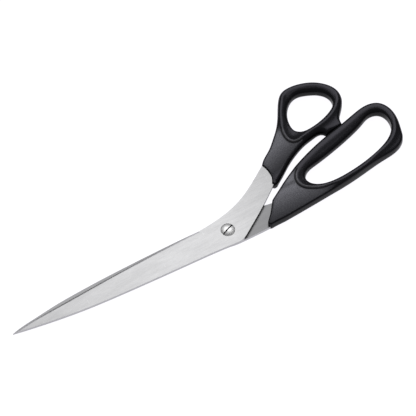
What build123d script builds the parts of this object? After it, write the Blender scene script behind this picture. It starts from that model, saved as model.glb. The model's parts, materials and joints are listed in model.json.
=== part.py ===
from build123d import *
import os

# Fabric shears with bent, over-moulded handles, lying closed on a table.
# Drawn in millimetres about the pivot axis: the blades point along -X, the handles lie along +X,
# and Z = 0 is the plane where the two blades meet. main() moves the assembly so that the origin
# is under the middle of its box, on the table.

# Blade stock and the running gap between the two blades.
BLADE_TOP = 2.2
BLADE_INNER = 0.1
BEVEL_WIDTH = 1.7
BEVEL_REACH = 20.0
EDGE_LAND = 0.08
TIP_X = -139.3
RICASSO_X = -15.0

# Over-moulded handles.
RING_HALF = 4.0
SHANK_HALF = 3.0
THUMB_RIM_ROUND = 2.4
THUMB_MOUTH_ROUND = 2.0
FINGER_RIM_ROUND = 1.6
FINGER_MOUTH_ROUND = 1.2
RIM_LENGTH = 60.0
ANCHOR_R = 1.6

# Pivot stack.
HEAD_R = 4.05
HEAD_SEAT_Z = 1.3
HEAD_CROWN = 0.85
HEAD_GAP = 0.1
SHOULDER_R = 2.5
SHOULDER_FIT = 0.05
THREAD_R = 2.0
THREAD_FIT = 0.03
SLIDE_GAP = 0.02
CUT_OVER = 1.0
SLOT_WIDTH = 0.8
SLOT_DEPTH = 0.9
SLOT_TURN = 23.0
WASHER_R = 7.0
SPRING_R = 4.4
SPRING_SHEET = 0.25
SPRING_RISE = 0.1
SPRING_BORE_GAP = 0.2
NUT_FLATS = 7.0
NUT_THICK = 1.4
NUT_CHAMFER = 0.25
NUT_Z = -BLADE_TOP - SPRING_RISE - SPRING_SHEET - NUT_THICK

# Outlines in the XY plane.
SPINE = [(TIP_X, 0.0), (-124.0, -2.5), (-109.0, -4.5), (-94.0, -6.0), (-79.0, -6.9), (-59.0, -7.7),
         (-30.0, -8.5), (-9.0, -9.2), (0.6, -9.9)]
CUTTING_EDGE = [(TIP_X, 0.3), (-124.5, 2.5), (-110.0, 3.6), (-95.0, 4.6), (-80.0, 5.6), (-60.0, 6.7),
                (-35.0, 7.6), (RICASSO_X, 8.0)]
NEAR_BACK = [(RICASSO_X, 7.1), (-6.0, 8.1), (5.5, 10.3), (15.5, 13.8), (25.6, 19.4), (37.5, 27.4)]
NEAR_HEEL = [(0.6, -9.9), (5.7, -9.1), (10.4, -6.2), (20.4, 0.6), (36.3, 12.6)]

FAR_SPINE = [(TIP_X, 0.6), (-134.0, 2.0), (-124.4, 3.4), (-109.4, 5.4), (-94.4, 6.6), (-79.4, 7.4),
             (-59.4, 8.0), (-30.0, 8.4), (-10.0, 8.1), (10.0, 6.9), (31.5, 4.2)]
FAR_EDGE = [(TIP_X, 0.3), (-124.0, -1.6), (-109.0, -3.2), (-94.0, -4.6), (-79.0, -5.7), (-59.0, -6.7),
            (-30.0, -7.5), (RICASSO_X, -7.8)]
FAR_HEEL = [(RICASSO_X, -7.4), (-7.0, -7.8), (0.5, -8.9), (6.8, -9.1), (16.8, -9.1), (24.0, -8.9)]

THUMB_TANG = [(37.5, 27.4), (40.0, 26.6), (54.5, 39.0), (59.0, 36.5), (57.0, 31.0), (43.0, 18.6), (36.3, 12.6)]
THUMB_ANCHORS = [(45.5, 25.5), (53.0, 32.5)]
FINGER_TANG = [(31.5, 4.2), (36.0, 5.2), (46.5, 6.5), (48.0, 1.5), (46.0, -4.0), (28.0, -6.0), (24.0, -8.9)]
FINGER_ANCHORS = [(33.0, -0.5), (41.5, 0.8)]

THUMB_BACK = [(37.6, 27.4), (39.4, 29.4), (46.0, 34.3), (51.2, 39.1), (56.3, 44.4), (60.6, 50.4),
              (66.4, 59.9), (69.8, 63.3), (75.5, 64.6), (82.2, 63.8), (88.3, 61.6), (95.2, 56.5),
              (99.2, 49.0), (98.7, 43.9), (93.7, 36.8), (91.5, 33.6), (90.8, 29.6)]
THUMB_FRONT = [(39.2, 13.5), (45.2, 17.6), (50.4, 21.4), (58.9, 26.4), (68.9, 30.1), (74.0, 30.7),
               (78.0, 30.0), (80.0, 27.2)]
THUMB_END = [(39.2, 13.5), (37.4, 13.6), (38.3, 16.4), (38.9, 20.4), (38.6, 24.2), (37.6, 27.4)]
THUMB_HOLE = [(64.4, 44.0), (65.0, 38.7), (68.5, 35.7), (73.5, 35.3), (80.6, 36.6), (88.1, 39.4),
              (92.6, 42.9), (93.6, 47.6), (90.8, 53.0), (84.0, 57.1), (77.0, 58.7), (71.4, 56.4),
              (67.1, 51.5)]
THUMB_CREST = [(69.0, 66.0), (64.5, 57.0), (61.0, 47.0), (59.4, 41.0), (59.8, 36.6), (63.0, 33.6),
               (68.0, 32.4), (76.0, 31.0), (80.0, 26.0)]

FINGER_BACK = [(31.7, 4.6), (40.8, 10.3), (50.7, 16.0), (60.9, 20.5), (71.1, 24.1), (80.1, 26.6),
               (90.9, 29.1), (101.2, 31.9), (110.3, 32.9), (115.8, 30.8), (119.4, 25.3), (120.3, 19.5),
               (118.7, 10.4), (116.6, 4.9), (112.3, 1.4), (100.5, -0.9), (80.4, -4.1), (60.5, -6.4),
               (40.6, -8.1), (23.4, -9.4)]
FINGER_END = [(23.4, -9.4), (22.3, -8.4), (24.9, -4.0), (27.8, -0.6), (30.0, 2.3), (31.7, 4.6)]
FINGER_HOLE = [(55.0, 8.4), (57.1, 12.0), (65.5, 15.1), (78.0, 17.9), (90.6, 21.5), (100.7, 25.2),
               (107.7, 27.3), (113.9, 24.8), (115.7, 17.0), (112.4, 10.6), (104.2, 5.2), (93.1, 1.6),
               (81.0, -0.6), (70.0, -1.3), (61.5, 0.0), (56.0, 4.0)]
FINGER_CREST = [(58.0, 22.0), (52.8, 15.6), (51.0, 11.0), (51.6, 7.0), (55.0, 3.2), (61.0, 0.2),
                (66.0, -2.2), (74.0, -8.0)]
THUMB_CORNERS = [(30.0, 0.0), (30.0, 66.0)]
FINGER_CORNERS = [(15.0, -15.0), (15.0, 22.0)]


def slab(face, low, high):
    """A flat outline given thickness from one height to another."""
    return extrude(Pos(0, 0, low) * face, high - low)


def disc(radius, low, high):
    """A round plate on the pivot axis."""
    return slab(Circle(radius), low, high)


def outline(*runs):
    """A face bounded by smooth runs and straight runs, joined end to end."""
    return make_face(Curve() + list(runs))


def bevel_cutter(edge, side):
    """The metal ground away along a cutting edge; side is the direction out of the blade in Y."""
    rise = BLADE_TOP - BLADE_INNER - EDGE_LAND
    sections = []
    for level in (-CUT_OVER, rise + CUT_OVER):
        inset = side * BEVEL_WIDTH * level / rise
        run = [(x, y - inset) for x, y in edge]
        far_corners = [(run[-1][0], side * BEVEL_REACH), (run[0][0], side * BEVEL_REACH)]
        rim = outline(Spline(run), Polyline(run[-1], *far_corners, run[0]))
        sections.append(Pos(0, 0, level) * rim)
    return loft(sections, ruled=True)


def anchors(points):
    """Holes through a tang, which the plastic of the handle fills."""
    return Sketch() + [Pos(x, y) * Circle(ANCHOR_R) for x, y in points]


def near_blade_face():
    """The thumb-side blade and its tang, seen from above."""
    return outline(Spline(CUTTING_EDGE), Line(CUTTING_EDGE[-1], NEAR_BACK[0]), Spline(NEAR_BACK),
                   Polyline(THUMB_TANG), Spline(NEAR_HEEL[::-1]), Spline(SPINE[::-1]),
                   Line(SPINE[0], CUTTING_EDGE[0]))


def far_blade_face():
    """The finger-side blade and its tang, seen from above."""
    return outline(Spline(FAR_SPINE), Polyline(FINGER_TANG), Spline(FAR_HEEL[::-1]),
                   Line(FAR_HEEL[0], FAR_EDGE[-1]), Spline(FAR_EDGE[::-1]), Line(FAR_EDGE[0], FAR_SPINE[0]))


def make_thumb_blade():
    """Upper blade: screw seat, shoulder hole, cutting bevel on its +Y side and an anchored tang."""
    face = near_blade_face() - anchors(THUMB_ANCHORS)
    blade = slab(face, BLADE_INNER, BLADE_TOP)
    bevel = Pos(0, 0, BLADE_INNER + EDGE_LAND) * bevel_cutter(CUTTING_EDGE, 1)
    seat = disc(HEAD_R + HEAD_GAP, HEAD_SEAT_Z, BLADE_TOP)
    hole = disc(SHOULDER_R + SHOULDER_FIT, BLADE_INNER, BLADE_TOP)
    return blade - bevel - seat - hole


def make_finger_blade():
    """Lower blade: threaded hole, cutting bevel on its -Y side and an anchored tang."""
    face = far_blade_face() - anchors(FINGER_ANCHORS)
    blade = slab(face, -BLADE_TOP, -BLADE_INNER)
    bevel = mirror(Pos(0, 0, BLADE_INNER + EDGE_LAND) * bevel_cutter(FAR_EDGE, -1), Plane.XY)
    return blade - bevel - disc(THREAD_R + THREAD_FIT, -BLADE_TOP, -BLADE_INNER)


def rounded(body, radius, pick):
    """Round the picked edges of the top face and of the bottom face."""
    for level in (-1, 0):
        face = body.faces().sort_by(Axis.Z)[level]
        body = fillet(pick(face), radius)
    return body


def long_rims(face):
    """The long smooth runs of a handle's outer rim, without its end and its stop."""
    return [edge for edge in face.outer_wire().edges() if edge.length > RIM_LENGTH]


def mouth(face):
    """The rim of the finger or thumb hole."""
    return face.inner_wires()[0].edges()


def moulding(face, hole, shank, rim_round, mouth_round):
    """A handle: a thick ring with rounded edges, and a shank thinner than the ring."""
    body = slab(face - hole, -RING_HALF, RING_HALF)
    body = rounded(body, mouth_round, mouth)
    body = rounded(body, rim_round, long_rims)
    body -= slab(shank, SHANK_HALF, RING_HALF)
    body -= slab(shank, -RING_HALF, -SHANK_HALF)
    return body


def shank_area(crest, corners):
    """The flat, thinner area between a ring's raised lip and the blade."""
    return outline(Spline(crest), Polyline(crest[-1], corners[0], corners[1], crest[0]))


def ring_hole(points):
    """A closed smooth opening through a ring."""
    return make_face(Spline(points, periodic=True))


def make_thumb_handle(blade):
    """Upper handle with the small ring and the stop lobe, moulded round the tang."""
    face = outline(Spline(THUMB_BACK), Polyline(THUMB_BACK[-1], THUMB_FRONT[-1]), Spline(THUMB_FRONT[::-1]),
                   Spline(THUMB_END))
    shank = shank_area(THUMB_CREST, THUMB_CORNERS)
    return moulding(face, ring_hole(THUMB_HOLE), shank, THUMB_RIM_ROUND, THUMB_MOUTH_ROUND) - blade


def make_finger_handle(blade):
    """Lower handle with the long bow for the fingers, moulded round the tang."""
    face = outline(Spline(FINGER_BACK), Spline(FINGER_END))
    shank = shank_area(FINGER_CREST, FINGER_CORNERS)
    return moulding(face, ring_hole(FINGER_HOLE), shank, FINGER_RIM_ROUND, FINGER_MOUTH_ROUND) - blade


def make_pivot_screw():
    """Slotted screw: crowned head in its seat, plain shoulder, thread end."""
    head = disc(HEAD_R, HEAD_SEAT_Z + SLIDE_GAP, BLADE_TOP)
    ball_r = (HEAD_R ** 2 + HEAD_CROWN ** 2) / (2 * HEAD_CROWN)
    crown = Pos(0, 0, BLADE_TOP + HEAD_CROWN - ball_r) * Sphere(ball_r)
    crown &= disc(HEAD_R, BLADE_TOP, BLADE_TOP + HEAD_CROWN)
    slot_floor = BLADE_TOP + HEAD_CROWN - SLOT_DEPTH
    slot_plan = Rectangle(2 * (HEAD_R + CUT_OVER), SLOT_WIDTH, rotation=SLOT_TURN)
    slot = slab(slot_plan, slot_floor, BLADE_TOP + HEAD_CROWN + CUT_OVER)
    shoulder = disc(SHOULDER_R, -BLADE_INNER + SLIDE_GAP, HEAD_SEAT_Z + SLIDE_GAP)
    thread = disc(THREAD_R, NUT_Z, -BLADE_INNER + SLIDE_GAP)
    return head + crown + shoulder + thread - slot


def make_pivot_nut():
    """Thin six-sided nut on the back."""
    flats = RegularPolygon(NUT_FLATS / 2, 6, major_radius=False) - Circle(THREAD_R + THREAD_FIT)
    nut = slab(flats, NUT_Z, NUT_Z + NUT_THICK)
    return chamfer(nut.faces().sort_by(Axis.Z)[0].outer_wire().edges(), NUT_CHAMFER)


def make_disc_spring():
    """Shallow coned washer that keeps the blades pressed together."""
    inner = THREAD_R + SPRING_BORE_GAP
    low = -BLADE_TOP - SPRING_RISE - SPRING_SHEET
    high = low + SPRING_RISE
    section = Polyline((inner, low), (SPRING_R, high), (SPRING_R, high + SPRING_SHEET),
                       (inner, low + SPRING_SHEET), (inner, low))
    return revolve(make_face(Plane.XZ * section), Axis.Z)


def make_glide_washer():
    """Thin washer between the blades, round the shoulder of the screw."""
    ring = Circle(WASHER_R) - Circle(SHOULDER_R + 2 * SHOULDER_FIT)
    return slab(ring, -BLADE_INNER, BLADE_INNER - SLIDE_GAP)


def table_centre(pieces):
    """The move that puts the origin under the middle of the whole box."""
    boxes = [piece.bounding_box() for piece in pieces]
    middle_x = (min(box.min.X for box in boxes) + max(box.max.X for box in boxes)) / 2
    middle_y = (min(box.min.Y for box in boxes) + max(box.max.Y for box in boxes)) / 2
    return Pos(-middle_x, -middle_y, -min(box.min.Z for box in boxes))


def main():
    """Build every piece, set the origin and write one file for each."""
    thumb_blade = make_thumb_blade()
    finger_blade = make_finger_blade()
    pieces = {
        "thumb_blade": thumb_blade,
        "finger_blade": finger_blade,
        "thumb_handle": make_thumb_handle(thumb_blade),
        "finger_handle": make_finger_handle(finger_blade),
        "pivot_screw": make_pivot_screw(),
        "pivot_nut": make_pivot_nut(),
        "disc_spring": make_disc_spring(),
        "glide_washer": make_glide_washer(),
    }
    home = table_centre(pieces.values())
    os.makedirs("parts", exist_ok=True)
    for name, piece in pieces.items():
        export_step(home * piece, f"parts/{name}.step")
    print("pivot axis at", home.position.X, home.position.Y, "blade plane at", home.position.Z)


main()
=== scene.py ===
import json
import math
import bpy
import numpy as np
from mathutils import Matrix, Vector, geometry


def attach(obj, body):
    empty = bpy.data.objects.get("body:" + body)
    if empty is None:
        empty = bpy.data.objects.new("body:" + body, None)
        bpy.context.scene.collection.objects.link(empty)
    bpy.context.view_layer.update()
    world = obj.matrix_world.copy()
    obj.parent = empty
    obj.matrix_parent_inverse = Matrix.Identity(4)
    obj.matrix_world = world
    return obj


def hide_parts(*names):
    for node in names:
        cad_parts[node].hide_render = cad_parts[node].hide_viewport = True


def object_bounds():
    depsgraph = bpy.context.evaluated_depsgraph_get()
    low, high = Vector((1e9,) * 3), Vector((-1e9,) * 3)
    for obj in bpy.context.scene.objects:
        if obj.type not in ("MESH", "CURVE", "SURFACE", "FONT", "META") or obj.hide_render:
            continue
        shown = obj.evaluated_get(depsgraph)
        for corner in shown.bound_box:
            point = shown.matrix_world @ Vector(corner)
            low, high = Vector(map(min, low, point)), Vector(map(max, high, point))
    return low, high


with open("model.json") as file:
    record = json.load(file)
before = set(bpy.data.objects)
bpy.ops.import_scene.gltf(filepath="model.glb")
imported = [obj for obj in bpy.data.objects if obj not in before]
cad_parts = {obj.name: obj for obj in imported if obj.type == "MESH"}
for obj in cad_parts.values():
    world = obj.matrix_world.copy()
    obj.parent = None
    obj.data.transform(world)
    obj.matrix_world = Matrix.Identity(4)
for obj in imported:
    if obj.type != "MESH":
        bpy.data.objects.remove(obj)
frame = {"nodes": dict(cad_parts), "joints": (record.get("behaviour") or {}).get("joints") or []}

CAD_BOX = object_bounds()

# Drawing frame in millimetres: origin on the pivot axis, blades along -X, Z = 0 between the blades.
PIVOT = np.array(frame["joints"][0]["pos_m"]) * 1000.0
MM = 0.001

# Level direction away from the viewer: the rings fall more gently on their far sides. FAR_SPAN is
# how far a wall has to face that way before it counts, from not at all to fully.
AWAY = np.array([0.4856, 0.8742])
FAR_SPAN = (0.25, 0.8)

# Heights above the plane between the blades.
CREST_Z = 3.95
SHANK_Z = 3.0

# The lip beside a shank: a rise, a groove next to it, and a slight swelling beyond, each at its
# distance from the crest line.
LIP_WIDTH = 0.5
GROOVE_DEPTH = 0.24
GROOVE_AT = 0.95
GROOVE_WIDTH = 0.36
SWELL_HEIGHT = 0.07
SWELL_AT = 1.8
SWELL_WIDTH = 0.3

# The ridge along the end of a handle, over the blade.
END_RIDGE_HEIGHT = 0.10
END_RIDGE_AT = 1.35
END_RIDGE_WIDTH = 0.25

# How steeply a ring falls away from its crest, and how deep at most. It falls less outside on the
# far side. The widths say how round the crest is; the far side's and the bar's are added there.
OUTER_FALL = 0.50
FAR_RELIEF = 0.38
INNER_FALL = 0.46
RING_DEEPEST = 1.6
FINGER_DEEPEST = 1.9
THUMB_CREST_WIDTH = 1.0
THUMB_FAR_WIDTH = 1.4
FINGER_CREST_WIDTH = 1.1
FINGER_BAR_WIDTH = 0.9
FINGER_FAR_WIDTH = 1.2

# Where the flat shanks give way to the rings: each pair is the span over which one fades into the
# other, along X or Y or along a line from a point in a direction.
THUMB_SHANK_END = np.array([57.5, 42.0])
THUMB_SHANK_WAY = np.array([0.69, 0.72])
THUMB_SHANK_FADE = (-2.5, 3.5)
THUMB_GAP_FADE = (62.5, 70.0)
FINGER_LOW_FADE = (58.0, 70.0)
FINGER_HIGH_FADE = (48.0, 55.0)
FINGER_MIDDLE = (6.0, 12.0)

# The long bow's upper bar: a sloping line from BAR_START_X, and the spans in which the bar begins,
# ends and rises above the line.
BAR_START_X = 55.0
BAR_SLOPE = 0.24
BAR_FOOT_Y = 8.0
BAR_RISE = (2.0, 6.0)
BAR_BEGIN = (54.0, 64.0)
BAR_END = (98.0, 110.0)

# How strongly the shank's texture shows, which also paints light and shade across the shank, paler where it
# is stronger: a least level and the fade above it. The thumb handle's runs over its width from a point on
# its back, the finger handle's along Y.
THUMB_SHANK_BACK = np.array([46.0, 34.3])
THUMB_SHANK_ACROSS = np.array([0.32, -0.95])
THUMB_SHANK_WIDTH = 13.6
THUMB_TEXTURE_AND_SHADE = (0.06, 0.8)
THUMB_TEXTURE_AND_SHADE_REACH = 1.1
FINGER_TEXTURE_AND_SHADE_LEAST = 0.14
FINGER_SHANK_LOW = 9.0
FINGER_SHANK_SPAN = 17.0
TEXTURE_AND_SHADE_POWER = 1.3

# Spans over which the texture begins: from the rounded edge (in edge radii) and from the lip, and for the
# highlight painted on the lip from the rim.
TEXTURE_FROM_EDGE = (0.75, 1.1)
TEXTURE_FROM_LIP = (0.9, 1.5)
LIP_HIGHLIGHT_FROM_RIM = (1.0, 2.5)

# Edge radii: the least, what is added to it, and the span of X or Y over which it is added. On the
# long bow the height above a sloping line takes the place of Y.
THUMB_MOUTH = (1.2, 0.8, 40.0, 54.0)
THUMB_BACK_EDGE = (1.1, 0.4, 56.0, 70.0)
THUMB_FRONT_EDGE = (2.5, 0.5, 68.0, 80.0)
THUMB_STOP_EDGE = (3.0, -2.0, 81.0, 90.0)
FINGER_MOUTH = (0.8, 1.2, 0.0, 9.0)
FINGER_MOUTH_Y = 4.0
FINGER_BACK_EDGE = (1.2, 0.2)
FINGER_BACK_SLOPE = 0.2
FINGER_BACK_X = 60.0
FINGER_BACK_RISE = (0.0, 12.0)
FINGER_BACK_BEGIN = (34.0, 58.0)
END_RADIUS = 1.0

# How far the visual mouldings stand proud of the drawn outlines: SKIN all round, more where a side
# is fuller, and nothing at the finger handle's end over the blade.
SKIN = 0.2
THUMB_FRONT_EXTRA = 0.65
THUMB_FRONT_BEGIN = (20.0, 27.0)
THUMB_FRONT_END = (70.0, 77.0)
THUMB_HOLE_EXTRA = 0.1
THUMB_HOLE_END = (66.0, 76.0)
FINGER_LOW_EXTRA = 0.2
FINGER_LOW_SLOPE = 0.1
FINGER_LOW_RISE = (-8.0, -2.0)
FINGER_END_FADE = (26.0, 34.0)
FINGER_HOLE_EXTRA = 0.55
FINGER_HOLE_SLOPE = 0.26
FINGER_HOLE_RISE = (6.0, 11.0)

# Small rounding of the metal edges, in metres.
EASE_WIDTH = 0.00007
EASE_SEGMENTS = 2
EASE_ANGLE = math.radians(35)
EASED_NODES = ("thumb_blade", "finger_blade", "pivot_screw", "pivot_nut")

# Meshing, in millimetres, with the angles round the rims in degrees. A point of a row is kept where
# no outline or crest is nearer than a share of the row's own offset, and the grid keeps clear of
# the rows. SAMPLES is how finely a curve is worked out before it is cut into even steps.
SAMPLES = 60
SHARP_ANGLE = math.radians(50)
RIM_STEP = 0.5
GRID_STEP = 0.55
GRID_ROW = 0.866
ROUND_SHARE = 0.96
END_SHARE = 0.97
CREST_SHARE = 0.9
CREST_CLEAR = 0.1
GRID_CLEAR = 0.3
GRID_CREST_CLEAR = 2.1
GRID_END_CLEAR = 2.4
MERGE = 1e-5
TINY = 1e-12
ROUND_ANGLES = [15, 30, 45, 60, 75, 90]
END_OFFSETS = [1.0, 1.15, 1.3, 1.45, 1.6, 1.8, 2.1]
CREST_OFFSETS = [-1.6, -1.1, -0.7, -0.4, -0.18, 0.0, 0.18, 0.4, 0.65, 0.9, 1.15, 1.45, 1.8]

THUMB_BACK = [(37.6, 27.4), (39.4, 29.4), (46.0, 34.3), (51.2, 39.1), (56.3, 44.4), (60.6, 50.4),
              (66.4, 59.9), (69.8, 63.3), (75.5, 64.6), (82.2, 63.8), (88.3, 61.6), (95.2, 56.5),
              (99.2, 49.0), (98.7, 43.9), (93.7, 36.8), (91.5, 33.6), (90.8, 29.6)]
THUMB_STOP = [(90.8, 29.6), (80.0, 27.2)]
THUMB_FRONT = [(80.0, 27.2), (78.0, 30.0), (74.0, 30.7), (68.9, 30.1), (58.9, 26.4), (50.4, 21.4),
               (45.2, 17.6), (39.2, 13.5)]
THUMB_END = [(39.2, 13.5), (37.4, 13.6), (38.3, 16.4), (38.9, 20.4), (38.6, 24.2), (37.6, 27.4)]
THUMB_HOLE = [(64.4, 44.0), (65.0, 38.7), (68.5, 35.7), (73.5, 35.3), (80.6, 36.6), (88.1, 39.4),
              (92.6, 42.9), (93.6, 47.6), (90.8, 53.0), (84.0, 57.1), (77.0, 58.7), (71.4, 56.4),
              (67.1, 51.5)]
THUMB_CREST = [(70.9, 62.2), (68.1, 59.0), (65.2, 54.7), (62.7, 50.4), (60.9, 46.1), (59.3, 42.6),
               (58.5, 39.0), (58.7, 35.4), (60.2, 32.7), (63.0, 31.7), (66.4, 32.2), (70.2, 33.2),
               (75.9, 34.1), (82.4, 35.3), (90.0, 38.4), (93.8, 41.4), (96.5, 44.8), (97.4, 48.6),
               (96.2, 52.6), (93.4, 56.3), (88.0, 60.2), (82.0, 62.3), (75.8, 63.3)]

FINGER_BACK = [(31.7, 4.6), (40.8, 10.3), (50.7, 16.0), (60.9, 20.5), (71.1, 24.1), (80.1, 26.6),
               (90.9, 29.1), (101.2, 31.9), (110.3, 32.9), (115.8, 30.8), (119.4, 25.3), (120.3, 19.5),
               (118.7, 10.4), (116.6, 4.9), (112.3, 1.4), (100.5, -0.9), (80.4, -4.1), (60.5, -6.4),
               (40.6, -8.1), (23.4, -9.4)]
FINGER_END = [(23.4, -9.4), (22.3, -8.4), (24.9, -4.0), (27.8, -0.6), (30.0, 2.3), (31.7, 4.6)]
FINGER_HOLE = [(55.0, 8.4), (57.1, 12.0), (65.5, 15.1), (78.0, 17.9), (90.6, 21.5), (100.7, 25.2),
               (107.7, 27.3), (113.9, 24.8), (115.7, 17.0), (112.4, 10.6), (104.2, 5.2), (93.1, 1.6),
               (81.0, -0.6), (70.0, -1.3), (61.5, 0.0), (56.0, 4.0)]
FINGER_CREST = [(55.2, 15.4), (52.0, 12.9), (50.2, 9.7), (50.1, 6.9), (51.6, 3.6), (55.2, 0.8),
                (59.5, -1.3), (65.2, -2.5), (72.4, -2.9), (79.5, -2.3), (89.5, -0.8), (99.5, 2.2),
                (109.2, 5.6), (115.0, 10.5), (117.6, 15.8), (118.5, 20.2), (117.5, 24.9), (114.6, 29.1),
                (109.6, 31.0), (101.3, 29.6), (90.9, 26.6), (80.4, 23.9), (71.4, 21.6), (62.3, 18.6)]


def smoothstep(x, low, high):
    """0 below low, 1 above high, smooth between."""
    t = np.clip((x - low) / (high - low), 0.0, 1.0)
    return t * t * (3.0 - 2.0 * t)


def smooth_run(points, closed=False, step=RIM_STEP):
    """A cubic curve through the points, in even steps along its length."""
    p = np.array(points, float)
    if closed:
        p = np.vstack([p, p[:1]])
    chord = np.linalg.norm(np.diff(p, axis=0), axis=1)
    u = np.concatenate([[0.0], np.cumsum(chord)])
    n = len(p)
    a = np.zeros((n, n))
    b = np.zeros((n, 2))
    for i in range(1, n - 1):
        a[i, i - 1], a[i, i], a[i, i + 1] = chord[i - 1], 2 * (chord[i - 1] + chord[i]), chord[i]
        b[i] = 6 * ((p[i + 1] - p[i]) / chord[i] - (p[i] - p[i - 1]) / chord[i - 1])
    if closed:
        a[0, 0], a[0, -1] = 1.0, -1.0
        a[-1, 0], a[-1, 1] = 2 * chord[0], chord[0]
        a[-1, -2], a[-1, -1] = chord[-1], 2 * chord[-1]
        b[-1] = 6 * ((p[1] - p[0]) / chord[0] - (p[-1] - p[-2]) / chord[-1])
    else:
        a[0, 0], a[-1, -1] = 1.0, 1.0
    m = np.linalg.solve(a, b)
    fine = np.linspace(0, u[-1], SAMPLES * n)
    i = np.clip(np.searchsorted(u, fine, side="right") - 1, 0, n - 2)
    h = chord[i][:, None]
    s = (fine - u[i])[:, None]
    r = h - s
    q = (m[i] * r ** 3 + m[i + 1] * s ** 3) / (6 * h)
    q += (p[i] / h - m[i] * h / 6) * r + (p[i + 1] / h - m[i + 1] * h / 6) * s
    length = np.concatenate([[0.0], np.cumsum(np.linalg.norm(np.diff(q, axis=0), axis=1))])
    count = max(3, int(round(length[-1] / step)))
    even = np.linspace(0, length[-1], count + 1)
    out = np.column_stack([np.interp(even, length, q[:, k]) for k in (0, 1)])
    return out[:-1] if closed else out


def bell(d, at, width, height):
    """A smooth rise of one height at one distance."""
    return height * np.exp(-((d - at) / width) ** 2)


def inside(points, loop):
    """Which points lie inside a closed loop."""
    x, y = points[:, 0][:, None], points[:, 1][:, None]
    x0, y0 = loop[:, 0][None], loop[:, 1][None]
    x1, y1 = np.roll(loop[:, 0], -1)[None], np.roll(loop[:, 1], -1)[None]
    crosses = (y0 > y) != (y1 > y)
    level = np.where(y1 == y0, 1.0, y1 - y0)
    hits = crosses & (x < (x1 - x0) * (y - y0) / level + x0)
    return hits.sum(axis=1) % 2 == 1


def distance(points, loop, closed=True):
    """Distance to a line, and the place along it in samples."""
    best = np.full(len(points), np.inf)
    where = np.zeros(len(points))
    nxt = np.roll(loop, -1, axis=0)
    for i in range(len(loop) if closed else len(loop) - 1):
        a, ab = loop[i], nxt[i] - loop[i]
        t = np.clip(((points - a) @ ab) / max(ab @ ab, TINY), 0, 1)
        d = np.linalg.norm(points - a - t[:, None] * ab, axis=1)
        closer = d < best
        best[closer] = d[closer]
        where[closer] = i + t[closer]
    return best, where


def inward(loop, sign):
    """Unit normals of a closed loop; sign picks the side."""
    along = np.roll(loop, -1, axis=0) - np.roll(loop, 1, axis=0)
    along /= np.linalg.norm(along, axis=1)[:, None]
    area = np.sum(loop[:, 0] * np.roll(loop[:, 1], -1) - np.roll(loop[:, 0], -1) * loop[:, 1])
    return np.column_stack([-along[:, 1], along[:, 0]]) * (sign if area > 0 else -sign)


def softened(values, passes=8):
    """Values round a closed loop, averaged with their neighbours."""
    v = np.array(values, float)
    for _ in range(passes):
        v = (np.roll(v, 1) + 2 * v + np.roll(v, -1)) / 4
    return v


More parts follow.
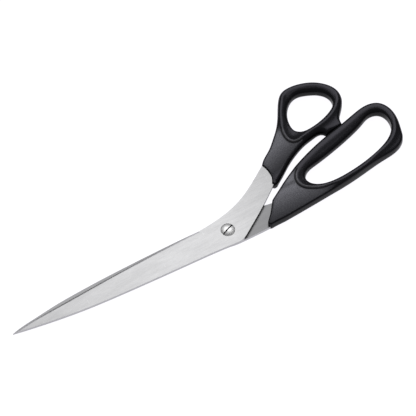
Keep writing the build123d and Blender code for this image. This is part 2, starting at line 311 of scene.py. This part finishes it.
class Handle:
    """One moulded handle: outline, hole, crest line and the heights between them."""

    def __init__(self, runs, hole, crest, mouth_radius, shape, growth, hole_growth):
        pieces, radii = [], []
        for points, radius in runs:
            run = smooth_run(points)[:-1]
            pieces.append(run)
            radii.append(np.full(len(run), 1.0) * radius(run) if callable(radius)
                         else np.full(len(run), radius))
        rim = np.vstack(pieces)
        self.rim = rim - inward(rim, 1) * softened(growth(rim))[:, None]
        self.rim_radius = softened(np.concatenate(radii))
        hole = smooth_run(hole, closed=True)
        self.hole = hole + inward(hole, 1) * softened(hole_growth(hole))[:, None]
        self.hole_radius = softened(mouth_radius(self.hole))
        self.crest = smooth_run(crest, closed=True)
        self.end = smooth_run(runs[-1][0])
        self.facing = softened(-inward(self.rim, 1) @ AWAY)
        self.shape = shape

    def fields(self, p):
        """Distances to the rim, the hole and the crest, the edge radii there, and which side of the
        crest each point is on."""
        d_rim, at = distance(p, self.rim)
        r_rim = self.rim_radius[np.round(at).astype(int) % len(self.rim)]
        d_hole, at = distance(p, self.hole)
        r_hole = self.hole_radius[np.round(at).astype(int) % len(self.hole)]
        d_crest, _ = distance(p, self.crest)
        return d_rim, r_rim, d_hole, r_hole, d_crest, inside(p, self.crest)

    def far_side(self, p):
        """1 where the nearest outer wall faces away from the viewer, 0 on the near and side walls."""
        _, at = distance(p, self.rim)
        return smoothstep(self.facing[np.round(at).astype(int) % len(self.rim)], *FAR_SPAN)

    def top(self, p):
        """Height of the upper surface, how strongly the shank's texture and the light painted across it
        show, and the highlight painted on the lip.
        """
        d_rim, r_rim, d_hole, r_hole, d_crest, within = self.fields(p)
        height, shank = self.shape(p, d_crest, within, self.far_side(p))
        d_end, _ = distance(p, self.end, closed=False)
        height = height + bell(d_end, END_RIDGE_AT, END_RIDGE_WIDTH, END_RIDGE_HEIGHT)
        for d, r in ((d_rim, r_rim), (d_hole, r_hole)):
            lack = np.clip(1 - d / r, 0, 1)
            height = height - r * (1 - np.sqrt(np.clip(1 - lack ** 2, 0, 1)))
        flat = shank * smoothstep(d_rim / r_rim, *TEXTURE_FROM_EDGE)
        flat = flat * smoothstep(d_crest, *TEXTURE_FROM_LIP)
        # A paler grey is painted along the crest beside the shank as a highlight.
        lip_highlight = np.clip(2 * shank, 0, 1) * bell(d_crest, 0.0, LIP_WIDTH, 1.0)
        lip_highlight = lip_highlight * smoothstep(d_rim, *LIP_HIGHLIGHT_FROM_RIM)
        return height, flat * ~within, lip_highlight

    def plan(self):
        """Every vertex of the plan and the triangles between them."""
        points = [self.rim, self.hole]
        for loop, radius, sign in ((self.rim, self.rim_radius, 1), (self.hole, self.hole_radius, -1)):
            normal = inward(loop, sign)
            for angle in ROUND_ANGLES:
                reach = radius * (1 - math.cos(math.radians(angle)))
                q = loop + normal * reach[:, None]
                d = np.minimum(distance(q, self.rim)[0], distance(q, self.hole)[0])
                ok = (d > ROUND_SHARE * reach) & inside(q, self.rim) & ~inside(q, self.hole)
                points.append(q[ok])
        side = inward(self.crest, 1)
        for offset in CREST_OFFSETS:
            q = self.crest - side * offset
            d_rim, r_rim, d_hole, r_hole, d_crest, _ = self.fields(q)
            ok = (d_rim > r_rim + CREST_CLEAR) & (d_hole > r_hole + CREST_CLEAR)
            ok &= d_crest > CREST_SHARE * abs(offset)
            ok &= inside(q, self.rim) & ~inside(q, self.hole)
            points.append(q[ok])
        along = np.gradient(self.end, axis=0)
        across = np.column_stack([-along[:, 1], along[:, 0]]) / np.linalg.norm(along, axis=1)[:, None]
        for offset in END_OFFSETS:
            q = np.vstack([self.end + across * offset, self.end - across * offset])
            d_rim = distance(q, self.rim)[0]
            points.append(q[(d_rim > END_SHARE * offset) & inside(q, self.rim)])
        low, high = self.rim.min(axis=0), self.rim.max(axis=0)
        rows = []
        for k, y in enumerate(np.arange(low[1], high[1], GRID_STEP * GRID_ROW)):
            xs = np.arange(low[0] + (k % 2) * GRID_STEP / 2, high[0], GRID_STEP)
            rows.append(np.column_stack([xs, np.full(len(xs), y)]))
        q = np.vstack(rows)
        q = q[inside(q, self.rim) & ~inside(q, self.hole)]
        d_rim, r_rim, d_hole, r_hole, d_crest, _ = self.fields(q)
        d_end, _ = distance(q, self.end, closed=False)
        ok = (d_rim > r_rim + GRID_CLEAR) & (d_hole > r_hole + GRID_CLEAR)
        ok &= (d_crest > GRID_CREST_CLEAR) & (d_end > GRID_END_CLEAR)
        points.append(q[ok])
        everything = np.vstack(points)
        edges = []
        start = 0
        for loop in (self.rim, self.hole):
            n = len(loop)
            edges += [(start + i, start + (i + 1) % n) for i in range(n)]
            start += n
        coords = [Vector((float(x), float(y))) for x, y in everything]
        verts, _, faces, origins, _, _ = geometry.delaunay_2d_cdt(coords, edges, [], 0, MERGE, True)
        p = np.array([(v.x, v.y) for v in verts])
        tri = np.array(faces)
        middle = p[tri].mean(axis=1)
        tri = tri[inside(middle, self.rim) & ~inside(middle, self.hole)]
        back = {o: i for i, group in enumerate(origins) for o in group}
        walls = [(back[a], back[b]) for a, b in edges]
        return p, tri, walls

    def build(self, name, node, body, material):
        """The closed mesh, mirrored top to bottom, in place of its CAD node."""
        p, tri, walls = self.plan()
        height, flat, lip_highlight = self.top(p)
        n = len(p)
        top = np.column_stack([p, height])
        bottom = np.column_stack([p, -height])
        verts = np.clip((np.vstack([top, bottom]) + PIVOT) * MM, CAD_BOX[0], CAD_BOX[1])
        faces = [tuple(t) for t in tri] + [tuple(n + i for i in reversed(t)) for t in tri]
        used = {(t[i], t[(i + 1) % 3]) for t in map(tuple, tri) for i in range(3)}
        for a, b in walls:
            if (a, b) in used:
                faces.append((b, a, n + a, n + b))
            else:
                faces.append((a, b, n + b, n + a))
        mesh = bpy.data.meshes.new(name)
        mesh.from_pydata([tuple(v) for v in verts], [], faces)
        mesh.validate()
        # The shank's texture level also carries the light painted across the shank.
        for label, values in (("shank", flat), ("lip_highlight", lip_highlight)):
            layer = mesh.attributes.new(label, "FLOAT", "POINT")
            layer.data.foreach_set("value", np.concatenate([values, values]).astype(np.float32))
        mesh.polygons.foreach_set("use_smooth", [True] * len(mesh.polygons))
        mesh.set_sharp_from_angle(angle=SHARP_ANGLE)
        mesh.update()
        piece = bpy.data.objects.new(name, mesh)
        bpy.context.scene.collection.objects.link(piece)
        mesh.materials.append(material)
        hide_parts(node)
        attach(piece, body)


def ridge(d, width, slope, deepest):
    """How far a surface has fallen at distance d from a ridge."""
    fall = slope * (np.sqrt(d ** 2 + width ** 2) - width)
    return deepest * (1 - np.exp(-fall / deepest))


def lip(d):
    """The raised lip, the groove beside it and the flat shank beyond."""
    rise = bell(d, 0.0, LIP_WIDTH, CREST_Z - SHANK_Z)
    groove = bell(d, GROOVE_AT, GROOVE_WIDTH, GROOVE_DEPTH)
    beyond = bell(d, SWELL_AT, SWELL_WIDTH, SWELL_HEIGHT)
    return SHANK_Z + rise - groove + beyond


def thumb_shape(p, d, within, far):
    """Height of the thumb handle before its edges are rounded, and where its flat shank is, painted paler
    towards its back as light.
    """
    along = (p - THUMB_SHANK_END) @ THUMB_SHANK_WAY
    gap_side = smoothstep(p[:, 0], *THUMB_GAP_FADE)
    shank = (1 - smoothstep(along, *THUMB_SHANK_FADE)) * (1 - gap_side)
    ring_out = CREST_Z - ridge(d, THUMB_CREST_WIDTH, OUTER_FALL - FAR_RELIEF * far, RING_DEEPEST)
    outside = shank * lip(d) + (1 - shank) * ring_out
    inner = CREST_Z - ridge(d, THUMB_CREST_WIDTH + THUMB_FAR_WIDTH * far, INNER_FALL, RING_DEEPEST)
    # Painted light: the shank is paler near its back and darker across it.
    across = (p - THUMB_SHANK_BACK) @ THUMB_SHANK_ACROSS / THUMB_SHANK_WIDTH
    least, extra = THUMB_TEXTURE_AND_SHADE
    fade = np.clip(THUMB_TEXTURE_AND_SHADE_REACH - across, 0, 1) ** TEXTURE_AND_SHADE_POWER
    return np.where(within, inner, outside), shank * (least + extra * fade)


def finger_shape(p, d, within, far):
    """Height of the finger handle before its edges are rounded, and where its flat shank is, painted paler
    higher up Y as light.
    """
    x, y = p[:, 0], p[:, 1]
    high = smoothstep(y, *FINGER_MIDDLE)
    low_side = (1 - smoothstep(x, *FINGER_LOW_FADE)) * (1 - high)
    high_side = (1 - smoothstep(x, *FINGER_HIGH_FADE)) * high
    shank = np.maximum(low_side, high_side)
    bar = smoothstep(y - (BAR_FOOT_Y + BAR_SLOPE * (x - BAR_START_X)), *BAR_RISE)
    bar *= smoothstep(x, *BAR_BEGIN) * (1 - smoothstep(x, *BAR_END))
    width = FINGER_CREST_WIDTH + FINGER_BAR_WIDTH * bar + FINGER_FAR_WIDTH * far * (1 - bar)
    ring_out = CREST_Z - ridge(d, FINGER_CREST_WIDTH, OUTER_FALL - FAR_RELIEF * far, RING_DEEPEST)
    outside = shank * lip(d) + (1 - shank) * ring_out
    inner = CREST_Z - ridge(d, width, INNER_FALL, FINGER_DEEPEST)
    # Painted light: the shank is paler higher up Y.
    fade = np.clip((y + FINGER_SHANK_LOW) / FINGER_SHANK_SPAN, 0, 1) ** TEXTURE_AND_SHADE_POWER
    return np.where(within, inner, outside), shank * (FINGER_TEXTURE_AND_SHADE_LEAST + fade)


# Sockets of a mix node, by what it mixes: factor, first, second and result.
COLOUR_SOCKETS = (0, 6, 7, 2)
NUMBER_SOCKETS = (0, 2, 3, 0)

# How many octaves a noise has.
COARSE_DETAIL = 2.0
MIDDLE_DETAIL = 3.0
FINE_DETAIL = 4.0


class Nodes:
    """A short way to write a material's node tree."""

    def __init__(self, name):
        self.material = bpy.data.materials.new(name)
        self.material.use_nodes = True
        self.tree = self.material.node_tree
        self.shader = self.tree.nodes["Principled BSDF"]

    def add(self, kind, inputs=(), **settings):
        """A new node; each input is a value or another node's output."""
        node = self.tree.nodes.new(kind)
        for key, value in settings.items():
            setattr(node, key, value)
        for key, value in dict(inputs).items():
            if hasattr(value, "node"):
                self.tree.links.new(value, node.inputs[key])
            else:
                node.inputs[key].default_value = value
        return node

    def feed(self, socket, value):
        """Link a node's output to the shader."""
        self.tree.links.new(value, self.shader.inputs[socket])

    def ramp(self, value, low, high, low_at=0.0, high_at=1.0):
        """A value that goes from low to high while the input goes from low_at to high_at."""
        node = self.add("ShaderNodeMapRange", {"Value": value, "From Min": low_at, "From Max": high_at,
                                               "To Min": low, "To Max": high})
        return node.outputs["Result"]

    def noise(self, scale, detail, stretch=(1, 1, 1), turn=0.0):
        """Noise in the object's own coordinates, stretched and turned about Z."""
        where = self.add("ShaderNodeTexCoord").outputs["Object"]
        spread = self.add("ShaderNodeMapping", {"Vector": where, "Scale": stretch, "Rotation": (0, 0, turn)})
        node = self.add("ShaderNodeTexNoise", {"Vector": spread.outputs["Vector"], "Scale": scale,
                                               "Detail": detail})
        return node.outputs["Fac"]

    def mix(self, factor, a, b, kind="RGBA", sockets=COLOUR_SOCKETS):
        """A colour between a and b."""
        by, first, second, result = sockets
        node = self.add("ShaderNodeMix", {by: factor, first: a, second: b}, data_type=kind)
        return node.outputs[result]

    def blend(self, factor, a, b):
        """A number between a and b."""
        return self.mix(factor, a, b, "FLOAT", NUMBER_SOCKETS)

    def plus(self, a, b):
        """Two numbers added."""
        return self.add("ShaderNodeMath", {0: a, 1: b}, operation="ADD").outputs[0]

    def part(self, vector, axis):
        """One component of a vector."""
        return self.add("ShaderNodeSeparateXYZ", {0: vector}).outputs[axis]

    def facing_up(self):
        """The size of the surface normal's vertical part: 1 on flat faces, 0 on walls."""
        up = self.part(self.add("ShaderNodeNewGeometry").outputs["Normal"], "Z")
        return self.add("ShaderNodeMath", {0: up}, operation="ABSOLUTE").outputs[0]

    def bump(self, height, strength, size, under=None):
        """A bumped normal, over another one if given."""
        inputs = {"Height": height, "Strength": strength, "Distance": size}
        if under is not None:
            inputs["Normal"] = under
        return self.add("ShaderNodeBump", inputs).outputs["Normal"]


def grey(level, blue=0.0):
    """A neutral colour, with a little extra blue if asked."""
    return (level, level, level + blue, 1.0)


# The span that most of a noise's values fall in.
NOISE_MIDDLE = (0.3, 0.7)

# Black plastic. Levels for the walls, rings and shanks; lengths in metres; noise scales per metre.
# FAINT_ROUGHNESS is added where the shank's texture is weakest, and SHANK_BEGINS is the texture
# level from which a point counts as shank.
PLASTIC_IOR = 1.42
# The plastic's reflections are tinted lavender: the studio's light colour, painted into the plastic.
PAINTED_REFLECTION_TINT = (0.88, 0.86, 1.0, 1.0)
WALL_GLOSS = 0.08
RING_GLOSS = 0.52
SHANK_GLOSS = 1.0
LEVEL_ENOUGH = 0.85
SPARK_SCALE = 1900.0
MOTTLE_SCALE = 500.0
SHANK_DARK = (0.095, 0.096, 0.104, 1)
SHANK_PALE = (0.300, 0.305, 0.322, 1)
RING_DARK = grey(0.0028, 0.0005)
RING_PALE = grey(0.0040, 0.0007)
SHANK_ROUGHNESS = (0.36, 0.50)
FAINT_ROUGHNESS = 0.16
RING_ROUGHNESS = (0.27, 0.30)
SHANK_BEGINS = 0.15
# The highlight painted along the lip beside each shank: how much of its paler grey at most, and the grey.
LIP_HIGHLIGHT_SHARE = 0.85
LIP_HIGHLIGHT_GREY = grey(0.20, 0.010)
RING_GRAIN = 0.006
SHANK_GRAIN = 0.40
GRAIN_DEPTH = 0.00012
WAVE_SCALE = 60.0
WAVE_STRENGTH = 0.05
WAVE_DEPTH = 0.0005

# Blade steel. TIP_SPAN, TANG_SPAN and INNER_SPAN are X in the object's own coordinates, in metres.
# HEEL_SPAN is X of the normal there, which is largest on the wall that faces the handle; that wall is
# painted nearly black as shade. The scales are noise per metre along X, Y and Z, long in the direction of
# grinding.
GRIND_TURN = math.radians(-4)
STREAK_SCALE = (90.0, 2600.0, 400.0)
FLECK_SCALE = (420.0, 1900.0, 400.0)
BROAD_SCALE = (60.0, 300.0, 80.0)
GRIND_SPAN = (0.7, 1.3)
GRIND_BUMP = 0.10
METAL_DEPTH = 0.00004
CLOUD_DEPTH = 0.00005
STEEL_DARK = grey(0.365, 0.005)
STEEL_PALE = grey(0.410, 0.005)
STEEL_ROUGHNESS = (0.30, 0.34)
TIP_SHADE = 0.17
TIP_SPAN = (-0.130, -0.030)
TANG_SHADE = 0.22
TANG_SPAN = (0.010, 0.048)
SCRATCH_SCALE = (1500.0, 260.0, 260.0)
SCRATCH_TURN = math.radians(35)
SCRATCH_SHARE = 0.6
SCRATCH_SPAN = (0.72, 0.80)
SCRATCH_GREY = grey(0.55)
# The inner face is painted darker as shade, for the near blade's shadow on it, most towards the tang.
INNER_SPAN = (-0.090, 0.030)
INNER_TIP_SHADE = grey(0.216, 0.004)
INNER_TANG_SHADE = grey(0.166, 0.004)
INNER_FACING = (0.5, 0.9)
FACE_SPAN = (0.2, 0.85)
HEEL_SPAN = (0.30, 0.55)
SIDE_WALL_GREY = grey(0.40, 0.01)
HEEL_WALL_SHADE = grey(0.07, 0.002)

# Screw steel: the slot's floor is known by its height in metres, the walls by their steepness; both are
# painted nearly black as shade.
SCREW_CLOUD_SCALE = 500.0
SCREW_GRAIN_SCALE = 1800.0
SCREW_BUMP = 0.05
SCREW_DARK = grey(0.84)
SCREW_PALE = grey(0.95)
SLOT_WALL_SPAN = (0.1, 0.5)
SLOT_WALL_SHADE = grey(0.03)
SLOT_FLOOR_SPAN = (0.00616, 0.00619)
SLOT_FLOOR_SHADE = grey(0.02)
SCREW_ROUGHNESS = (0.36, 0.44)

# The nut's and the spring's steel, and the glide washer's plastic.
NUT_SCALE = 700.0
NUT_DARK = grey(0.42)
NUT_PALE = grey(0.55)
NUT_ROUGHNESS = (0.25, 0.42)
NUT_BUMP = 0.12
WASHER_SCALE = 600.0
WASHER_DARK = (0.70, 0.69, 0.64, 1)
WASHER_PALE = (0.80, 0.79, 0.74, 1)
WASHER_ROUGHNESS = (0.42, 0.55)
WASHER_BUMP = 0.08


def handle_plastic():
    """Black plastic: smooth rings, spark-grained shanks with light painted across them, and a highlight
    painted paler along the lip beside each shank. The walls mirror less than the faces, and the reflections
    are tinted lavender, a painted reflection colour."""
    m = Nodes("handle_plastic")
    m.shader.inputs["IOR"].default_value = PLASTIC_IOR
    m.shader.inputs["Specular Tint"].default_value = PAINTED_REFLECTION_TINT
    flat = m.add("ShaderNodeAttribute", attribute_name="shank").outputs["Fac"]
    lip_highlight = m.add("ShaderNodeAttribute", attribute_name="lip_highlight").outputs["Fac"]
    gloss = m.ramp(flat, RING_GLOSS, SHANK_GLOSS)
    m.feed("Specular IOR Level", m.ramp(m.facing_up(), WALL_GLOSS, gloss, 0.0, LEVEL_ENOUGH))
    spark = m.noise(SPARK_SCALE, COARSE_DETAIL)
    mottle = m.noise(MOTTLE_SCALE, MIDDLE_DETAIL)
    shank_colour = m.mix(m.ramp(spark, 0.0, 1.0, *NOISE_MIDDLE), SHANK_DARK, SHANK_PALE)
    ring_colour = m.mix(m.ramp(mottle, 0.0, 1.0, *NOISE_MIDDLE), RING_DARK, RING_PALE)
    body_colour = m.mix(flat, ring_colour, shank_colour)
    # The lip beside each shank is painted paler, as a highlight.
    m.feed("Base Color", m.mix(m.ramp(lip_highlight, 0.0, LIP_HIGHLIGHT_SHARE), body_colour, LIP_HIGHLIGHT_GREY))
    duller = m.ramp(flat, FAINT_ROUGHNESS, 0.0, SHANK_BEGINS, 1.0)
    grained = m.plus(m.ramp(spark, *SHANK_ROUGHNESS), duller)
    on_shank = m.ramp(flat, 0.0, 1.0, 0.0, SHANK_BEGINS)
    m.feed("Roughness", m.blend(on_shank, m.ramp(mottle, *RING_ROUGHNESS), grained))
    grain = m.bump(spark, m.ramp(flat, RING_GRAIN, SHANK_GRAIN), GRAIN_DEPTH)
    m.feed("Normal", m.bump(m.noise(WAVE_SCALE, COARSE_DETAIL), WAVE_STRENGTH, WAVE_DEPTH, grain))
    return m.material


def blade_steel(name, inner_side):
    """Ground steel. The outer face darkens towards the tip and the tang and carries a few scratches; the
    inner face is painted darker as shade, and the wall that faces the handle is painted nearly black as
    shade. inner_side is the way the inner face looks along Z, 1 or -1."""
    m = Nodes(name)
    m.shader.inputs["Metallic"].default_value = 1.0
    own = m.add("ShaderNodeTexCoord").outputs
    along = m.part(own["Object"], "X")
    back = m.part(own["Normal"], "X")
    up = m.part(m.add("ShaderNodeNewGeometry").outputs["Normal"], "Z")
    # Painted shade: the wall that faces the handle is painted nearly black.
    walls = m.mix(m.ramp(back, 0.0, 1.0, *HEEL_SPAN), SIDE_WALL_GREY, HEEL_WALL_SHADE)
    streak = m.noise(1.0, FINE_DETAIL, STREAK_SCALE, GRIND_TURN)
    fleck = m.noise(1.0, MIDDLE_DETAIL, FLECK_SCALE, GRIND_TURN)
    broad = m.noise(1.0, COARSE_DETAIL, BROAD_SCALE, GRIND_TURN)
    fine = m.plus(streak, fleck)
    outer = m.mix(m.ramp(fine, 0.0, 1.0, *GRIND_SPAN), STEEL_DARK, STEEL_PALE)
    outer = m.mix(m.ramp(along, TIP_SHADE, 0.0, *TIP_SPAN), outer, grey(0.0))
    outer = m.mix(m.ramp(along, 0.0, TANG_SHADE, *TANG_SPAN), outer, grey(0.0))
    scratch = m.noise(1.0, COARSE_DETAIL, SCRATCH_SCALE, SCRATCH_TURN)
    outer = m.mix(m.ramp(scratch, 0.0, SCRATCH_SHARE, *SCRATCH_SPAN), outer, SCRATCH_GREY)
    # Painted shade: the inner face darker, most towards the tang.
    inner = m.mix(m.ramp(along, 0.0, 1.0, *INNER_SPAN), INNER_TIP_SHADE, INNER_TANG_SHADE)
    low, high = INNER_FACING
    faces = m.mix(m.ramp(up, 0.0, 1.0, low * inner_side, high * inner_side), outer, inner)
    m.feed("Base Color", m.mix(m.ramp(m.facing_up(), 0.0, 1.0, *FACE_SPAN), walls, faces))
    m.feed("Roughness", m.ramp(broad, *STEEL_ROUGHNESS, *NOISE_MIDDLE))
    m.feed("Normal", m.bump(fine, GRIND_BUMP, METAL_DEPTH))
    return m.material


def screw_steel():
    """Bright turned steel. Steep walls, in the slot and round the head, are painted dark as shade, and so is
    everything from the slot's floor down."""
    m = Nodes("screw_steel")
    m.shader.inputs["Metallic"].default_value = 1.0
    height = m.part(m.add("ShaderNodeTexCoord").outputs["Object"], "Z")
    cloud = m.noise(SCREW_CLOUD_SCALE, MIDDLE_DETAIL)
    bright = m.mix(cloud, SCREW_DARK, SCREW_PALE)
    # Painted shade: steep walls and the slot's floor nearly black.
    clean = m.mix(m.ramp(m.facing_up(), 1.0, 0.0, *SLOT_WALL_SPAN), bright, SLOT_WALL_SHADE)
    m.feed("Base Color", m.mix(m.ramp(height, 1.0, 0.0, *SLOT_FLOOR_SPAN), clean, SLOT_FLOOR_SHADE))
    m.feed("Roughness", m.ramp(cloud, *SCREW_ROUGHNESS))
    m.feed("Normal", m.bump(m.noise(SCREW_GRAIN_SCALE, COARSE_DETAIL), SCREW_BUMP, METAL_DEPTH))
    return m.material


def nut_steel():
    """Duller steel for the nut and the disc spring."""
    m = Nodes("nut_steel")
    m.shader.inputs["Metallic"].default_value = 1.0
    cloud = m.noise(NUT_SCALE, FINE_DETAIL)
    m.feed("Base Color", m.mix(cloud, NUT_DARK, NUT_PALE))
    m.feed("Roughness", m.ramp(cloud, *NUT_ROUGHNESS))
    m.feed("Normal", m.bump(cloud, NUT_BUMP, CLOUD_DEPTH))
    return m.material


def washer_plastic():
    """Off-white plastic."""
    m = Nodes("washer_plastic")
    cloud = m.noise(WASHER_SCALE, MIDDLE_DETAIL)
    m.feed("Base Color", m.mix(cloud, WASHER_DARK, WASHER_PALE))
    m.feed("Roughness", m.ramp(cloud, *WASHER_ROUGHNESS))
    m.feed("Normal", m.bump(cloud, WASHER_BUMP, CLOUD_DEPTH))
    return m.material


def ease_edges(node):
    """Break the sharp edges a little, as tumbling and use do."""
    ease = node.modifiers.new("eased", "BEVEL")
    ease.width = EASE_WIDTH
    ease.segments = EASE_SEGMENTS
    ease.limit_method = "ANGLE"
    ease.angle_limit = EASE_ANGLE
    ease.use_clamp_overlap = True


def dress_cad_nodes():
    """Give each carried-over piece its material, and ease the edges of the blades, the screw and the nut."""
    nut = nut_steel()
    finish = {"thumb_blade": blade_steel("thumb_blade_steel", -1),
              "finger_blade": blade_steel("finger_blade_steel", 1),
              "pivot_screw": screw_steel(), "pivot_nut": nut, "disc_spring": nut,
              "glide_washer": washer_plastic()}
    for name, material in finish.items():
        node = frame["nodes"][name]
        node.data.materials.clear()
        node.data.materials.append(material)
        if name in EASED_NODES:
            ease_edges(node)


def rising(value, least, extra, low, high):
    """A figure that grows from its least by the extra, over a span of the value."""
    return least + extra * smoothstep(value, low, high)


def thumb_mouth(loop):
    """Edge radius round the thumb hole, larger at the back."""
    return rising(loop[:, 1], *THUMB_MOUTH)


def finger_mouth(loop):
    """Edge radius round the finger hole, larger along the upper bar."""
    line = FINGER_MOUTH_Y + BAR_SLOPE * (loop[:, 0] - BAR_START_X)
    return rising(loop[:, 1] - line, *FINGER_MOUTH)


def thumb_back_radius(run):
    """Edge radius along the thumb handle's back."""
    return rising(run[:, 0], *THUMB_BACK_EDGE)


def thumb_front_radius(run):
    """Edge radius along the thumb handle's front."""
    return rising(run[:, 0], *THUMB_FRONT_EDGE)


def thumb_stop_radius(run):
    """Edge radius along the stop, smaller towards the back."""
    return rising(run[:, 0], *THUMB_STOP_EDGE)


def finger_back_radius(run):
    """Edge radius round the long bow, a little larger above."""
    least, extra = FINGER_BACK_EDGE
    above = run[:, 1] - FINGER_BACK_SLOPE * (run[:, 0] - FINGER_BACK_X)
    upper = smoothstep(above, *FINGER_BACK_RISE) * smoothstep(run[:, 0], *FINGER_BACK_BEGIN)
    return least + extra * upper


def thumb_growth(rim):
    """The front edge of the thumb handle's shank is fuller; the stop isn't."""
    front = smoothstep(rim[:, 0] - rim[:, 1], *THUMB_FRONT_BEGIN)
    front = front * (1 - smoothstep(rim[:, 0], *THUMB_FRONT_END))
    return SKIN + THUMB_FRONT_EXTRA * front


def thumb_hole_growth(loop):
    """The thumb hole's shank side is a little fuller."""
    return SKIN + THUMB_HOLE_EXTRA * (1 - smoothstep(loop[:, 0], *THUMB_HOLE_END))


def finger_growth(rim):
    """The long lower edge is a little fuller, and the end over the blade isn't."""
    lower = 1 - smoothstep(rim[:, 1] - FINGER_LOW_SLOPE * rim[:, 0], *FINGER_LOW_RISE)
    return (SKIN + FINGER_LOW_EXTRA * lower) * smoothstep(rim[:, 0], *FINGER_END_FADE)


def finger_hole_growth(loop):
    """The upper bar is a little fuller on the side of the hole."""
    line = FINGER_HOLE_SLOPE * (loop[:, 0] - BAR_START_X)
    upper = smoothstep(loop[:, 1] - line, *FINGER_HOLE_RISE)
    return SKIN + FINGER_HOLE_EXTRA * upper * (1 - smoothstep(loop[:, 0], *BAR_END))


def make_handles():
    """Both mouldings, in place of the plain CAD handles."""
    plastic = handle_plastic()
    runs = [(THUMB_BACK, thumb_back_radius), (THUMB_STOP, thumb_stop_radius),
            (THUMB_FRONT, thumb_front_radius), (THUMB_END, END_RADIUS)]
    thumb = Handle(runs, THUMB_HOLE, THUMB_CREST, thumb_mouth, thumb_shape,
                   thumb_growth, thumb_hole_growth)
    thumb.build("thumb_moulding", "thumb_handle", "thumb_side", plastic)
    runs = [(FINGER_BACK, finger_back_radius), (FINGER_END, END_RADIUS)]
    finger = Handle(runs, FINGER_HOLE, FINGER_CREST, finger_mouth, finger_shape,
                    finger_growth, finger_hole_growth)
    finger.build("finger_moulding", "finger_handle", "finger_side", plastic)


# The point of the model that sits at the middle of the picture, the line of sight and the lens.
AIM = Vector((0.00718, -0.00824, 0.004))
VIEW_AZIMUTH = math.radians(-29.05)
VIEW_ELEVATION = math.radians(60.0)
LENS = 1500.0
SENSOR = 36.0
FRAME_WIDTH = 0.2370
CLIP_NEAR = 0.05
CLIP_FAR = 50.0

# The floor, the sky and the lamps: azimuth and elevation in degrees, distance and size in metres,
# then watts.
FLOOR_HALF = 12.0
FLOOR_GREY = grey(0.3)
FLOOR_ROUGHNESS = 0.9
FLOOR_GLOW = (0.97, 0.96, 1.0, 1.0)
SKY_COLOUR = (0.98, 0.98, 1.0, 1)
SKY_LEVEL = 0.16
SOFTBOX = (150.95, 60.0, 1.3, (1.0, 0.8), 5.4)
FILL = (60.0, 50.0, 2.0, (0.5, 0.5), 0.3)


def direction(azimuth, elevation):
    """From the aim towards a viewer or a lamp."""
    flat = math.cos(elevation)
    return Vector((math.sin(azimuth) * flat, -math.cos(azimuth) * flat, math.sin(elevation)))


def make_camera():
    """A very long lens, so that the picture is nearly a parallel view."""
    data = bpy.data.cameras.new("camera")
    data.sensor_width = SENSOR
    data.lens = LENS
    camera = bpy.data.objects.new("camera", data)
    bpy.context.scene.collection.objects.link(camera)
    back = direction(VIEW_AZIMUTH, VIEW_ELEVATION)
    camera.location = AIM + back * (FRAME_WIDTH * LENS / SENSOR)
    camera.rotation_mode = "QUATERNION"
    camera.rotation_quaternion = (-back).to_track_quat("-Z", "Y")
    data.clip_start = CLIP_NEAR
    data.clip_end = CLIP_FAR
    bpy.context.scene.camera = camera


def lamp(name, azimuth, elevation, far, size, watts):
    """A flat lamp aimed at the object."""
    data = bpy.data.lights.new(name, "AREA")
    data.shape = "RECTANGLE"
    data.size, data.size_y = size
    data.energy = watts
    obj = bpy.data.objects.new(name, data)
    bpy.context.scene.collection.objects.link(obj)
    back = direction(math.radians(azimuth), math.radians(elevation))
    obj.location = AIM + back * far
    obj.rotation_mode = "QUATERNION"
    obj.rotation_quaternion = (-back).to_track_quat("-Z", "Y")


def make_floor():
    """A plain white floor that glows, so that no shadow shows."""
    mesh = bpy.data.meshes.new("floor")
    corners = [(x * FLOOR_HALF, y * FLOOR_HALF, 0) for x, y in ((-1, -1), (1, -1), (1, 1), (-1, 1))]
    mesh.from_pydata(corners, [], [(0, 1, 2, 3)])
    floor = bpy.data.objects.new("floor", mesh)
    bpy.context.scene.collection.objects.link(floor)
    m = Nodes("floor")
    m.shader.inputs["Base Color"].default_value = FLOOR_GREY
    m.shader.inputs["Roughness"].default_value = FLOOR_ROUGHNESS
    m.shader.inputs["Emission Color"].default_value = FLOOR_GLOW
    m.shader.inputs["Emission Strength"].default_value = 1.0
    mesh.materials.append(m.material)


def make_light():
    """A softbox where a level face mirrors it to the viewer, a weak fill and a dim sky."""
    world = bpy.data.worlds.new("studio")
    world.use_nodes = True
    world.node_tree.nodes["Background"].inputs["Color"].default_value = SKY_COLOUR
    world.node_tree.nodes["Background"].inputs["Strength"].default_value = SKY_LEVEL
    bpy.context.scene.world = world
    lamp("softbox", *SOFTBOX)
    lamp("fill", *FILL)


make_handles()
dress_cad_nodes()
make_floor()
make_light()
make_camera()
bpy.context.scene.view_settings.view_transform = "Standard"
